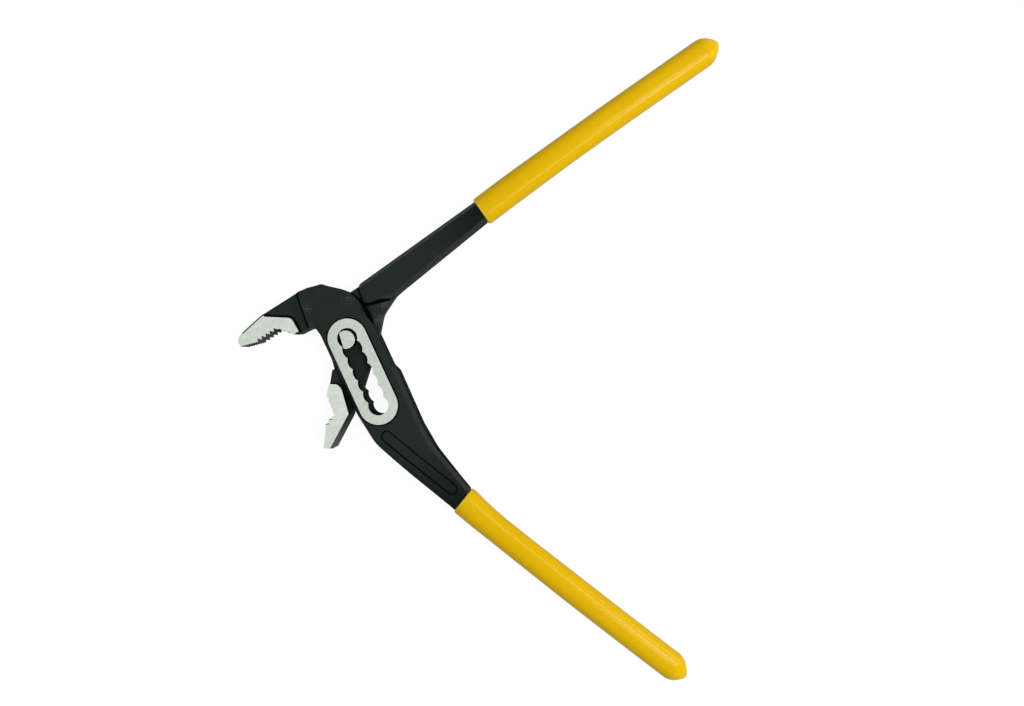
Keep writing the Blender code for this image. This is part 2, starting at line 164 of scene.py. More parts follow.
def rounded(corners):
    """Closed outline through corners (x, y), or (x, y, fillet radius); a fillet stays within its sides."""
    most = 0.45
    outline = []
    for i, corner in enumerate(corners):
        here = Vector(corner[:2])
        if len(corner) == 2:
            outline.append(tuple(here))
            continue
        before = Vector(corners[i - 1][:2]) - here
        after = Vector(corners[(i + 1) % len(corners)][:2]) - here
        half = before.angle(after) / 2
        run = min(corner[2] / math.tan(half), most * before.length, most * after.length)
        first = here + before.normalized() * run
        last = here + after.normalized() * run
        centre = here + (before.normalized() + after.normalized()).normalized() * (run / math.cos(half))
        start = math.degrees(math.atan2(first.y - centre.y, first.x - centre.x))
        end = math.degrees(math.atan2(last.y - centre.y, last.x - centre.x))
        turn = (end - start + 180) % 360 - 180
        outline += arc(centre, (first - centre).length, start, start + turn)
    return outline


weld_gap = 0.0005


def settle(made):
    """Turn what an object shows into its own plain mesh, welded and facing outwards."""
    shown = made.evaluated_get(bpy.context.evaluated_depsgraph_get())
    mesh = bpy.data.meshes.new_from_object(shown)
    shape = bmesh.new()
    shape.from_mesh(mesh)
    bmesh.ops.remove_doubles(shape, verts=shape.verts, dist=weld_gap)
    bmesh.ops.recalc_face_normals(shape, faces=shape.faces)
    shape.to_mesh(mesh)
    shape.free()
    settled = bpy.data.objects.new(made.name, mesh)
    bpy.data.objects.remove(made)
    scene.collection.objects.link(settled)
    return settled


def plate(name, outline, low, high, rim=0.0, draft=None):
    """Plate of an outline between two heights. Its rim is rounded, or falls evenly by the draft."""
    half = (high - low) / 2
    curve = bpy.data.curves.new(name, "CURVE")
    curve.dimensions = "2D"
    curve.fill_mode = "BOTH"
    curve.extrude = half - rim
    curve.bevel_depth = rim
    curve.bevel_resolution = 0 if draft else 2 + round(4 * rim)
    curve.offset = -rim
    spline = curve.splines.new("POLY")
    spline.points.add(len(outline) - 1)
    for point, (x, y) in zip(spline.points, outline):
        point.co = (x, y, 0, 1)
    spline.use_cyclic_u = True
    holder = bpy.data.objects.new(name, curve)
    scene.collection.objects.link(holder)
    made = settle(holder)
    for vertex in made.data.vertices:
        if draft and abs(abs(vertex.co.z) - curve.extrude) < 0.001:
            vertex.co.z = math.copysign(half - draft, vertex.co.z)
    made.data.transform(Matrix.Translation((0, 0, (high + low) / 2)))
    return made


def work(piece, tool, operation="DIFFERENCE", crossing=False):
    """Cut a tool out of a piece, or weld it on, and clear the tool away."""
    step = piece.modifiers.new("step", "BOOLEAN")
    step.operation = operation
    step.use_self = crossing
    step.object = tool
    done = settle(piece)
    bpy.data.objects.remove(tool)
    return done


def sink_both(piece, outline, half, rim):
    """Sink a hollow in both faces, to a height from the middle plane, with a rounded floor edge."""
    clear = half + 12.0
    piece = work(piece, plate("hollow", outline, half, clear, rim))
    return work(piece, plate("hollow", outline, -clear, -half, rim))


def cut_through(piece, name, outline):
    """Cut an outline right through a piece."""
    clear = 20.0
    return work(piece, plate(name, outline, -clear, clear))


def new_tree(name, inputs):
    """Geometry tree with the named inputs."""
    made = bpy.data.node_groups.new(name, "GeometryNodeTree")
    made.interface.new_socket("Geometry", in_out="INPUT", socket_type="NodeSocketGeometry")
    for label, kind in inputs:
        made.interface.new_socket(label, in_out="INPUT", socket_type="NodeSocket" + kind)
    made.interface.new_socket("Geometry", in_out="OUTPUT", socket_type="NodeSocketGeometry")
    return made


def close_tree(grown, geometry, finish):
    """End a tree with real geometry in one finish."""
    real = node(grown, "GeometryNodeRealizeInstances", {"Geometry": geometry})
    dressed = node(grown, "GeometryNodeSetMaterial", {"Geometry": real.outputs[0], "Material": finish})
    node(grown, "NodeGroupOutput", {"Geometry": dressed.outputs[0]})


def grow(name, grown, values, data=None):
    """Plain mesh object that a tree gives for a set of sizes."""
    holder = bpy.data.objects.new(name, data or bpy.data.meshes.new(name))
    scene.collection.objects.link(holder)
    step = holder.modifiers.new(name, "NODES")
    step.node_group = grown
    for item in grown.interface.items_tree:
        if item.in_out == "INPUT" and item.name in values:
            step[item.identifier] = values[item.name]
    return settle(holder)


# A row of saw teeth, as the block that a broach takes away: a zigzag edge, spread outwards and up.
tooth_lean = -0.15
block_spread = -4.0
tooth_row = new_tree("tooth_row", [("First", "Vector"), ("Last", "Vector"), ("Teeth", "Int"),
                                   ("Depth", "Float"), ("Height", "Float"), ("Finish", "Material")])
given = node(tooth_row, "NodeGroupInput").outputs
line = node(tooth_row, "GeometryNodeCurvePrimitiveLine", {"Start": given["First"], "End": given["Last"]})
count = node(tooth_row, "ShaderNodeMath", {0: given["Teeth"], 1: 2.0, 2: 1.0}, operation="MULTIPLY_ADD")
dots = node(tooth_row, "GeometryNodeResampleCurve", {"Curve": line.outputs[0], "Count": count.outputs[0]})
whole = node(tooth_row, "ShaderNodeVectorMath", {0: given["Last"], 1: given["First"]},
             operation="SUBTRACT")
share = node(tooth_row, "ShaderNodeMath", {0: tooth_lean, 1: given["Teeth"]}, operation="DIVIDE")
lean = node(tooth_row, "ShaderNodeVectorMath", {0: whole.outputs[0], "Scale": share.outputs[0]},
            operation="SCALE")
across = node(tooth_row, "ShaderNodeVectorMath", {0: (0, 0, 1), 1: whole.outputs[0]},
              operation="CROSS_PRODUCT")
inward = node(tooth_row, "ShaderNodeVectorMath", {0: across.outputs[0]}, operation="NORMALIZE")
bite = node(tooth_row, "ShaderNodeVectorMath", {0: inward.outputs[0], "Scale": given["Depth"]},
            operation="SCALE")
notch = node(tooth_row, "ShaderNodeVectorMath", {0: bite.outputs[0], 1: lean.outputs[0]}, operation="ADD")
place = node(tooth_row, "GeometryNodeInputIndex")
odd = node(tooth_row, "ShaderNodeMath", {0: place.outputs[0], 1: 2.0}, operation="MODULO")
shift = node(tooth_row, "ShaderNodeVectorMath", {0: notch.outputs[0], "Scale": odd.outputs[0]},
             operation="SCALE")
zigzag = node(tooth_row, "GeometryNodeSetPosition", {"Geometry": dots.outputs[0], "Offset": shift.outputs[0]})
wire = node(tooth_row, "GeometryNodeCurveToMesh", {"Curve": zigzag.outputs[0]})
strip = node(tooth_row, "GeometryNodeExtrudeMesh",
             {"Mesh": wire.outputs[0], "Offset": inward.outputs[0], "Offset Scale": block_spread},
             mode="EDGES")
under = node(tooth_row, "GeometryNodeFlipFaces", {"Mesh": strip.outputs[0]})
block = node(tooth_row, "GeometryNodeExtrudeMesh",
             {"Mesh": strip.outputs[0], "Offset": (0, 0, 1), "Offset Scale": given["Height"],
              "Individual": False})
closed = node(tooth_row, "GeometryNodeJoinGeometry")
tooth_row.links.new(under.outputs[0], closed.inputs[0])
tooth_row.links.new(block.outputs[0], closed.inputs[0])
welded = node(tooth_row, "GeometryNodeMergeByDistance",
              {"Geometry": closed.outputs[0], "Distance": weld_gap})
close_tree(tooth_row, welded.outputs[0], given["Finish"])

# The seats of the slot, as the row of end-mill plunges that cuts them.
seat_row = new_tree("seat_row", [("Seats", "Int"), ("Pitch", "Float"), ("Radius", "Float"),
                                 ("Height", "Float"), ("Finish", "Material")])
given = node(seat_row, "NodeGroupInput").outputs
down = node(seat_row, "ShaderNodeMath", {0: given["Pitch"], 1: -1.0}, operation="MULTIPLY")
stride = node(seat_row, "ShaderNodeCombineXYZ", {"Y": down.outputs[0]})
centres = node(seat_row, "GeometryNodeMeshLine", {"Count": given["Seats"], "Offset": stride.outputs[0]})
mill = node(seat_row, "GeometryNodeMeshCylinder",
            {"Vertices": 72, "Radius": given["Radius"], "Depth": given["Height"]})
plunges = node(seat_row, "GeometryNodeInstanceOnPoints",
               {"Points": centres.outputs[0], "Instance": mill.outputs[0]})
close_tree(seat_row, plunges.outputs[0], given["Finish"])

# A dipped or forged bar that swells along its length: a path whose width is given point by point,
# swept with a round that may be squared off, and pressed a little flat.
swept_bar = new_tree("swept_bar", [("Sides", "Int"), ("Squareness", "Float"), ("Flatness", "Float"),
                                   ("Finish", "Material")])
given = node(swept_bar, "NodeGroupInput").outputs
ring = node(swept_bar, "GeometryNodeCurvePrimitiveCircle", {"Resolution": given["Sides"], "Radius": 1.0})
spot = node(swept_bar, "GeometryNodeInputPosition").outputs[0]
sides = node(swept_bar, "ShaderNodeSeparateXYZ", {"Vector": spot}).outputs
powers = []
for side in ("X", "Y"):
    size = node(swept_bar, "ShaderNodeMath", {0: sides[side]}, operation="ABSOLUTE")
    powers.append(node(swept_bar, "ShaderNodeMath", {0: size.outputs[0], 1: given["Squareness"]},
                       operation="POWER").outputs[0])
total = node(swept_bar, "ShaderNodeMath", {0: powers[0], 1: powers[1]}, operation="ADD")
under = node(swept_bar, "ShaderNodeMath", {0: -1.0, 1: given["Squareness"]}, operation="DIVIDE")
swell = node(swept_bar, "ShaderNodeMath", {0: total.outputs[0], 1: under.outputs[0]}, operation="POWER")
corner = node(swept_bar, "ShaderNodeVectorMath", {0: spot, "Scale": swell.outputs[0]}, operation="SCALE")
profile = node(swept_bar, "GeometryNodeSetPosition",
               {"Geometry": ring.outputs[0], "Position": corner.outputs[0]})
girth = node(swept_bar, "GeometryNodeInputRadius")
swept = node(swept_bar, "GeometryNodeCurveToMesh",
             {"Curve": given["Geometry"], "Profile Curve": profile.outputs[0], "Scale": girth.outputs[0],
              "Fill Caps": True})
press = node(swept_bar, "ShaderNodeCombineXYZ", {"X": 1.0, "Y": 1.0, "Z": given["Flatness"]})
pressed = node(swept_bar, "GeometryNodeTransform", {"Geometry": swept.outputs[0], "Scale": press.outputs[0]})
close_tree(swept_bar, pressed.outputs[0], given["Finish"])


def ease(stations):
    """Stations (distance, width, side) about 2 mm apart, on a smooth line through the given ones."""
    fine = []
    for i in range(len(stations) - 1):
        before, start, end, after = [stations[min(max(i + k, 0), len(stations) - 1)] for k in (-1, 0, 1, 2)]
        run = end[0] - start[0]
        steps = max(1, round(run / 2))
        for k in range(steps):
            t = k / steps
            values = [start[0] + run * t]
            for j in (1, 2):
                leave = (end[j] - before[j]) / (end[0] - before[0]) * run
                arrive = (after[j] - start[j]) / (after[0] - start[0]) * run
                values.append(start[j] * (2 * t ** 3 - 3 * t ** 2 + 1) + leave * (t ** 3 - 2 * t ** 2 + t)
                              + end[j] * (3 * t ** 2 - 2 * t ** 3) + arrive * (t ** 3 - t ** 2))
            fine.append(tuple(values))
    return fine + [stations[-1]]


def sweep(name, mouth, angle, stations, squareness, finish):
    """Swept bar through stations (distance, width, side), with a blunt point."""
    reach, width, side = stations[-1]
    rings = 25
    length = 0.7 * width
    point = []
    for i in range(1, rings + 1):
        share = 1 - i / (rings + 0.6)
        point.append((reach + length * (1 - share), width * math.sin(math.pi / 2 * share ** 0.8), side))
    line = ease(stations) + point
    path = bpy.data.curves.new(name, "CURVE")
    path.dimensions = "3D"
    spline = path.splines.new("POLY")
    spline.points.add(len(line) - 1)
    for spot, (distance, width, side) in zip(spline.points, line):
        spot.co = along(mouth, angle, distance, side) + (0, 1)
        spot.radius = width / 2
    sizes = {"Sides": 64, "Squareness": squareness, "Flatness": 0.82, "Finish": finish}
    return grow(name, swept_bar, sizes, path)


# Shared marks of the surfaces: soft blotches with a fine grain, short scuffs from use, and a mask that
# fades with the distance from a spot.
def new_group(name, inputs, outputs):
    """Shader group with the named inputs and outputs."""
    made = bpy.data.node_groups.new(name, "ShaderNodeTree")
    for way, sockets in (("INPUT", inputs), ("OUTPUT", outputs)):
        for label, kind in sockets:
            made.interface.new_socket(label, in_out=way, socket_type="NodeSocket" + kind)
    return made


mottle = new_group("mottle", [("Blotch Scale", "Float"), ("Grain Scale", "Float")],
                   [("Blotch", "Float"), ("Grain", "Float")])
given = node(mottle, "NodeGroupInput").outputs
where = node(mottle, "ShaderNodeTexCoord").outputs["Object"]
blotch = node(mottle, "ShaderNodeTexNoise",
              {"Vector": where, "Scale": given["Blotch Scale"], "Detail": 4.0, "Roughness": 0.55})
grain = node(mottle, "ShaderNodeTexNoise",
             {"Vector": where, "Scale": given["Grain Scale"], "Detail": 3.0, "Roughness": 0.6})
node(mottle, "NodeGroupOutput", {"Blotch": blotch.outputs["Fac"], "Grain": grain.outputs["Fac"]})

scuffs = new_group("scuffs", [("Scale", "Float"), ("Spread", "Float")], [("Mark", "Float")])
given = node(scuffs, "NodeGroupInput").outputs
where = node(scuffs, "ShaderNodeTexCoord").outputs["Object"]
cloud = node(scuffs, "ShaderNodeTexNoise",
             {"Vector": where, "Scale": given["Scale"], "Detail": 8.0, "Roughness": 0.7})
soft_edge = 0.12
start = node(scuffs, "ShaderNodeMath", {0: 1.0, 1: given["Spread"]}, operation="SUBTRACT")
full = node(scuffs, "ShaderNodeMath", {0: start.outputs[0], 1: soft_edge}, operation="ADD")
scuff = node(scuffs, "ShaderNodeMapRange",
             {"Value": cloud.outputs["Fac"], "From Min": start.outputs[0], "From Max": full.outputs[0]})
node(scuffs, "NodeGroupOutput", {"Mark": scuff.outputs[0]})

nearness = new_group("nearness", [("Spot", "Vector"), ("Reach", "Float")], [("Mask", "Float")])
given = node(nearness, "NodeGroupInput").outputs
where = node(nearness, "ShaderNodeTexCoord").outputs["Object"]
level = node(nearness, "ShaderNodeVectorMath", {0: where, 1: (1.0, 1.0, 0.0)}, operation="MULTIPLY")
away = node(nearness, "ShaderNodeVectorMath", {0: level.outputs[0], 1: given["Spot"]}, operation="DISTANCE")
mask = node(nearness, "ShaderNodeMapRange",
            {"Value": away.outputs["Value"], "From Min": given["Reach"], "From Max": 0.0})
node(nearness, "NodeGroupOutput", {"Mask": mask.outputs[0]})


def place_group(tree, group, values):
    """Place a shared group in a material, with values of its own."""
    made = tree.nodes.new("ShaderNodeGroup")
    made.node_tree = group
    for name, value in values.items():
        made.inputs[name].default_value = value
    return made.outputs


def near(tree, x, y, reach):
    """Mask round a spot, in the slotted arm's millimetres, that fades out at its reach."""
    spot = first_seat + Vector((x, y, 0.0)) / 1000
    return place_group(tree, nearness, {"Spot": (spot.x, spot.y, 0.0), "Reach": reach / 1000})["Mask"]


def blend(tree, factor, first, second):
    """Colour between two, by a factor socket."""
    made = node(tree, "ShaderNodeMix", {"Factor": factor}, data_type="RGBA")
    for socket, source in ((made.inputs[6], first), (made.inputs[7], second)):
        if isinstance(source, bpy.types.NodeSocket):
            tree.links.new(source, socket)
        else:
            socket.default_value = source
    return made.outputs[2]


def ranged(tree, value, low, high):
    """Value that runs from low to high while another runs from 0 to 1."""
    return node(tree, "ShaderNodeMapRange", {"Value": value, "To Min": low, "To Max": high}).outputs[0]


def cover(tree, values):
    """Give a material its surface, with the inputs linked or set."""
    skin = node(tree, "ShaderNodeBsdfPrincipled", values)
    node(tree, "ShaderNodeOutputMaterial", {"Surface": skin.outputs[0]})


forged_black = new_material("forged_black")
tree = forged_black.node_tree
marks = place_group(tree, mottle, {"Blotch Scale": 140.0, "Grain Scale": 2600.0})
tone = blend(tree, marks["Blotch"], (0.0125, 0.0188, 0.0172, 1.0), (0.0175, 0.0253, 0.0232, 1.0))
# Soft spots painted into the black: painted shade before each grip and at the cheek's edge, deeper painted
# shade in the gap by the lower jaw, and painted light beside the box's right edge and on the jaws' teeth.
shade_tone = (0.0055, 0.0095, 0.0085, 1.0)
light_tone = (0.0400, 0.0435, 0.0380, 1.0)
deep_shade_tone = (0.0010, 0.0022, 0.0018, 1.0)
teeth_light_tone = (0.0780, 0.0840, 0.0760, 1.0)
for x, y, reach, shade in (
        (15.6, -86.9, 36.0, shade_tone), (77.1, 26.7, 30.0, shade_tone), (12.0, 8.2, 2.6, shade_tone),
        (21.4, 7.6, 3.6, light_tone), (16.6, 1.4, 3.6, light_tone),
        (-11.2, -19.5, 4.6, deep_shade_tone), (-11.2, -24.5, 4.6, deep_shade_tone), (-11.4, -29.0, 4.0, deep_shade_tone),
        (-25.6, -40.4, 12.0, teeth_light_tone), (-37.5, 14.0, 9.0, teeth_light_tone), (-29.5, 15.0, 9.0, teeth_light_tone)):
    tone = blend(tree, near(tree, x, y, reach), tone, shade)
worn = place_group(tree, scuffs, {"Scale": 1600.0, "Spread": 0.46})
rubbed = 0.03
for x, y, reach in ((-11.2, 19.5, 3.6), (-12.3, 11.8, 2.0), (-9.0, 27.4, 2.4), (-2.0, 27.4, 3.0),
                    (7.3, 15.2, 4.0), (20.0, 6.7, 3.0), (15.2, 2.4, 3.5)):
    close = near(tree, x, y, reach)
    rubbed = node(tree, "ShaderNodeMath", {0: close, 1: rubbed}, operation="MAXIMUM").outputs[0]
faint = node(tree, "ShaderNodeMath", {0: worn["Mark"], 1: rubbed}, operation="MULTIPLY")
bare_steel = (0.17, 0.175, 0.165, 1.0)
colour = blend(tree, faint.outputs[0], tone, bare_steel)
bump = node(tree, "ShaderNodeBump", {"Height": marks["Grain"], "Distance": 0.00006, "Strength": 0.6})
cover(tree, {"Base Color": colour, "Roughness": ranged(tree, marks["Grain"], 0.55, 0.75),
             "Normal": bump.outputs[0], "Specular IOR Level": 0.02})


def matt_black(name, dark, light, roughness, shine):
    """Flat black with soft blotches between two tones, for painted shade in recesses and painted light on
    faces that catch the light.
    """
    made = new_material(name)
    tree = made.node_tree
    marks = place_group(tree, mottle, {"Blotch Scale": 300.0, "Grain Scale": 2600.0})
    tone = blend(tree, marks["Blotch"], dark, light)
    cover(tree, {"Base Color": tone, "Roughness": roughness, "Specular IOR Level": shine})
    return made


# Near-black: painted shade on grooves and walls that fall dark.
shade_black = matt_black("shade_black", (0.0008, 0.0015, 0.0013, 1.0), (0.0022, 0.0032, 0.0029, 1.0),
                          roughness=0.8, shine=0.01)
# Lighter black: painted light on drafted faces on the side the light comes from.
lit_draft_black = matt_black("lit_draft_black", (0.0205, 0.0245, 0.0210, 1.0), (0.0285, 0.0325, 0.0285, 1.0),
                          roughness=0.65, shine=0.02)
# Lighter black still: painted light on drafted edges that face up and catch the light.
lit_edge_black = matt_black("lit_edge_black", (0.0300, 0.0400, 0.0320, 1.0), (0.0400, 0.0530, 0.0430, 1.0),
                        roughness=0.65, shine=0.02)


def ground(name, dull, clear, line):
    """Ground steel: soft blotches between two tones, crossed by fine grinding lines."""
    made = new_material(name)
    tree = made.node_tree
    marks = place_group(tree, mottle, {"Blotch Scale": 520.0, "Grain Scale": 3200.0})
    where = node(tree, "ShaderNodeTexCoord").outputs["Object"]
    turn = node(tree, "ShaderNodeMapping", {"Vector": where, "Rotation": (0.0, 0.0, math.radians(25.0))})
    stretch = node(tree, "ShaderNodeMapping", {"Vector": turn.outputs[0], "Scale": (160.0, 2400.0, 1.0)})
    lines = node(tree, "ShaderNodeTexNoise", {"Vector": stretch.outputs[0], "Scale": 1.0, "Detail": 3.0})
    tone = blend(tree, ranged(tree, marks["Blotch"], -0.4, 1.4), dull, clear)
    colour = blend(tree, ranged(tree, lines.outputs["Fac"], -0.35, 0.75), tone, line)
    bump = node(tree, "ShaderNodeBump",
                {"Height": lines.outputs["Fac"], "Distance": 0.00003, "Strength": 0.4})
    cover(tree, {"Base Color": colour, "Metallic": 0.7, "Normal": bump.outputs[0],
                 "Roughness": ranged(tree, marks["Grain"], 0.36, 0.52)})
    return made


ground_steel = ground("ground_steel", dull=(0.585, 0.675, 0.615, 1.0), clear=(0.78, 0.86, 0.80, 1.0),
                      line=(0.515, 0.585, 0.535, 1.0))
pad_steel = ground("pad_steel", dull=(0.695, 0.79, 0.72, 1.0), clear=(0.91, 0.98, 0.93, 1.0),
                   line=(0.62, 0.695, 0.64, 1.0))


def thin_out(piece, mouth, angle, run, factor, crown):
    """Thin an arm, and round its faces, over a run that ends at its grip, in steps that melt together."""
    way = Vector(along((0, 0), angle, 1.0) + (0,))
    across = Vector(along((0, 0), angle, 0.0, 1.0) + (0,))
    middle = Vector(mouth + (0,))
    steps = 16
    lanes = 7
    lane_width = 0.9
    half_width = 6.0
    shape = bmesh.new()
    shape.from_mesh(piece.data)
    for i in range(steps + 1):
        everything = list(shape.verts) + list(shape.edges) + list(shape.faces)
        bmesh.ops.bisect_plane(shape, geom=everything, dist=weld_gap,
                               plane_co=middle - way * run * i / steps, plane_no=way)
    for i in range(-lanes, lanes + 1):
        faces = [face for face in shape.faces if (face.calc_center_median() - middle).dot(way) > -run]
        edges = {edge for face in faces for edge in face.edges}
        verts = {vert for face in faces for vert in face.verts}
        bmesh.ops.bisect_plane(shape, geom=list(verts) + list(edges) + faces, dist=weld_gap,
                               plane_co=middle + across * i * lane_width, plane_no=across)
    for vertex in shape.verts:
        gone = min(max((vertex.co - middle).dot(way) / run + 1, 0.0), 1.0)
        eased = 0.5 * gone + 0.5 * gone * gone * (3 - 2 * gone)
        aside = min(abs((vertex.co - middle).dot(across)) / half_width, 1.2)
        vertex.co.z *= (1 + (factor - 1) * eased) * (1 - crown * eased * aside * aside)
    shape.to_mesh(piece.data)
    shape.free()


def broach(piece, rows):
    """Cut rows of saw teeth, given as (first, last, teeth, depth), right through a jaw."""
    low = -10.0
    for first, last, teeth, depth in rows:
        row = {"First": first + (low,), "Last": last + (low,), "Teeth": teeth, "Depth": depth,
               "Height": -2 * low, "Finish": forged_black}
        piece = work(piece, grow("tooth_row", tooth_row, row))
    return piece


def crop(piece, mouth, angle):
    """Cut a handle off square, just short of its grip."""
    start = -0.1
    end = 40.0
    half_width = 15.0
    beyond = [along(mouth, angle, start, -half_width), along(mouth, angle, end, -half_width),
              along(mouth, angle, end, half_width), along(mouth, angle, start, half_width)]
    return cut_through(piece, "crop", beyond)


tang_start = -8.0
round_bar = 2.0


def add_tang(piece, mouth, angle, end):
    """Weld on the plain bar that the grip hides."""
    width = 6.4
    bar = sweep("tang", mouth, angle, [(tang_start, width, 0.0), (end, width, 0.0)], round_bar, forged_black)
    return work(piece, bar, "UNION")


def coat(piece, finishes):
    """Give a piece its finishes; the first one covers it all."""
    piece.data.materials.clear()
    for finish in finishes:
        piece.data.materials.append(finish)


def paint(piece, face, finish):
    """Give one face another of its piece's finishes."""
    face.material_index = piece.data.materials.find(finish.name)


level_face = 0.985


def mark(piece, finish, low, high, flat, reach=(-math.inf, math.inf)):
    """Paint the flat faces, or the walls, between two heights and between two limits in x."""
    for face in piece.data.polygons:
        inside = low < abs(face.center.z) < high and reach[0] < face.center.x < reach[1]
        if inside and (abs(face.normal.z) > level_face) == flat:
            paint(piece, face, finish)


steel_crease = 28


def dress(piece, origin, crease, node_name, body):
    """Put a finished piece in its place in metres and let it stand for its solid."""
    piece.data.transform(Matrix.Translation(origin) @ Matrix.Scale(0.001, 4))
    piece.data.shade_smooth()
    piece.data.set_sharp_from_angle(angle=math.radians(crease))
    piece.modifiers.new("even_shading", "WEIGHTED_NORMAL").keep_sharp = True
    shown = piece.evaluated_get(bpy.context.evaluated_depsgraph_get())
    mesh = bpy.data.meshes.new_from_object(shown)
    piece.modifiers.clear()
    piece.data = mesh
    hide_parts(node_name)
    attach(piece, body)


seat_count = 7
seat_pitch = 5.45
seat_radius = 4.45
last_seat = -seat_pitch * (seat_count - 1)
left_edge = -10.4
right_edge = 12.7
root_edge = 14.0
jaw_tip = -45.0
cheek_half = 6.1
boss_half = 6.5
boss_groove_half = 6.0
pad_half = 5.6
panel_half = 5.5
border_half = 4.3
window_half = 2.8
slotted_mouth = (root_edge + 1.6, last_seat - 54.2)
slotted_angle = -63.5
slotted_steel_end = 108.8
fine_end = (jaw_tip + 8.2, 15.0)
apex = (left_edge - 16.0, 16.5)
root_end = (left_edge - 11.2, 11.9)
arm_outline = rounded(
    [(jaw_tip + 1.0, 13.4), (fine_end[0], 12.9), (apex[0], 13.2), (root_end[0] - 1.4, 9.8),
     (left_edge - 9.1, 11.2), (left_edge - 3.6, 11.2), (left_edge - 0.9, 10.8, 2.0), (left_edge, 6.0, 3.0),
     (left_edge, last_seat + 0.5, 20.0), (left_edge + 2.0, last_seat - 15.0, 20.0),
     (left_edge + 10.9, last_seat - 35.0, 30.0),
     along(slotted_mouth, slotted_angle, 5.0, -5.65), along(slotted_mouth, slotted_angle, 5.0, 4.85),
     (root_edge + 0.9, last_seat - 28.5, 30.0), (root_edge - 0.4, last_seat - 16.0, 20.0),
     (root_edge, last_seat + 10.5, 2.0), (right_edge, last_seat + 14.0, 2.5), (right_edge, 0.5, 8.0),
     (right_edge - 1.3, 6.0, 10.0), (right_edge - 1.7, 13.4, 8.0), (8.2, 19.7, 8.0), (1.6, 24.8, 2.0),
     (-0.6, 26.8, 2.6), (-3.2, 27.1, 3.0), (left_edge + 3.4, 27.8, 6.0), (left_edge - 1.6, 27.9, 8.0),
     (left_edge - 19.5, 25.5, 30.0), (jaw_tip + 2.7, 21.5, 4.0), (jaw_tip + 0.08, 19.2, 2.0)])
arm = plate("slotted_arm_forging", arm_outline, -cheek_half, cheek_half, rim=1.9, draft=0.75)
jaw_front = [(jaw_tip - 2.0, 16.74), fine_end, apex, root_end, (left_edge - 9.1, 11.2),
             (left_edge - 9.1, 0.0), (jaw_tip - 2.0, 0.0)]
arm = cut_through(arm, "jaw_front", jaw_front)
# A shallow groove round the boss, whose floor takes painted shade as a dark line.
arm = sink_both(arm, stadium((0, 0), (0, last_seat), 9.3), boss_groove_half, rim=0.0)
boss = plate("boss", stadium((0, 0), (0, last_seat), 8.75), -boss_half, boss_half, rim=0.12)
arm = work(arm, boss, "UNION")
step_top = (left_edge - 1.2, 30.0)
step_foot = (left_edge - 3.8, 4.0)
jaw_face = [step_top, step_foot, (jaw_tip - 5.0, 4.0), (jaw_tip - 5.0, 30.0)]
arm = sink_both(arm, jaw_face, pad_half, rim=0.0)
border = rounded([step_top, step_foot, (left_edge - 7.4, 4.0), (left_edge - 8.6, 18.6, 2.6),
                  (left_edge - 19.0, 24.0), (left_edge - 21.6, 30.0)])
arm = sink_both(arm, border, border_half, rim=1.4)
panel_top = (-2.5, last_seat - 14.1)
panel_foot = (root_edge - 0.4, last_seat - 47.6)
panel_radius = 2.7
arm = sink_both(arm, stadium(panel_top, panel_foot, panel_radius), panel_half, rim=0.9)
arm = broach(arm, [((jaw_tip + 0.6, 16.3), fine_end, 7, 0.45), (fine_end, apex, 5, 1.5),
                   (apex, root_end, 3, 0.6)])
upper_mouth = (-4.72, 8.75)
lower_mouth = (2.5, last_seat - 16.45)
window = [along(upper_mouth, 188, 60), upper_mouth, along(upper_mouth, 36.5, 60),
          along(lower_mouth, -24, 60), lower_mouth, along(lower_mouth, 228, 60)]
arm = work(arm, plate("window", window, -window_half, window_half))
relief = [(right_edge - 1.2, 60), (right_edge - 1.2, last_seat - 22), (60, last_seat - 22), (60, 60)]
arm = work(arm, plate("window_mouth", relief, -4.0, 4.0, rim=1.2))
seats = {"Seats": seat_count, "Pitch": seat_pitch, "Radius": seat_radius, "Height": 40.0,
         "Finish": forged_black}
arm = work(arm, grow("seat_row", seat_row, seats), crossing=True)
arm = crop(arm, slotted_mouth, slotted_angle)
below_cheek = cheek_half - 0.01
panel_across = Vector((0.901, 0.433))
coat(arm, [forged_black, ground_steel, shade_black, lit_draft_black, pad_steel])
mark(arm, ground_steel, boss_half - 0.03, boss_half + 0.03, True)
mark(arm, pad_steel, pad_half - 0.03, pad_half + 0.03, True, (-math.inf, left_edge - 3.4))
# Painted shade: near-black on the groove round the boss, on the boss's walls and on the jaw's hollow walls.
mark(arm, shade_black, boss_groove_half - 0.01, boss_groove_half + 0.01, True)
mark(arm, shade_black, cheek_half + 0.02, boss_half - 0.02, False)
mark(arm, shade_black, border_half + 0.01, below_cheek, False, (left_edge - 20.5, left_edge - 1.1))
for face in arm.data.polygons:
    spot = face.center
    height = abs(spot.z)
    level = abs(face.normal.z)
    if 5.3 < height < below_cheek and 0.88 < level < 0.96:
        # Drafts low on the right side take the lighter black: painted light on the side that faces the light.
        if spot.x > right_edge - 3.0 and spot.y < last_seat + 12.0:
            paint(arm, face, lit_draft_black)
        else:
            paint(arm, face, pad_steel if spot.x < jaw_tip + 6.0 else forged_black)
    # Painted shade too on the slot's walls, on walls that face right low on the arm, and on the panel's
    # walls.
    slot_wall = abs(spot.x) < 5.3 and last_seat - 5.0 < spot.y < 5.0 and level < 0.1
    outer_wall = spot.x > right_edge - 2.0 and spot.y < 8.0 and face.normal.x > 0.4 and level < 0.35
    over_panel = abs((spot.xy - Vector(panel_top)).dot(panel_across)) < panel_radius + 0.05
    panel_wall = panel_half + 0.01 < height < below_cheek and level < level_face and spot.y < last_seat - 10.0
    if slot_wall or outer_wall or (panel_wall and over_panel):
        paint(arm, face, shade_black)
thin_out(arm, slotted_mouth, slotted_angle, run=34.0, factor=7.6 / (2 * cheek_half), crown=0.25)
arm = add_tang(arm, slotted_mouth, slotted_angle, slotted_steel_end)
dress(arm, first_seat, steel_crease, "slotted_arm", "slotted_arm")


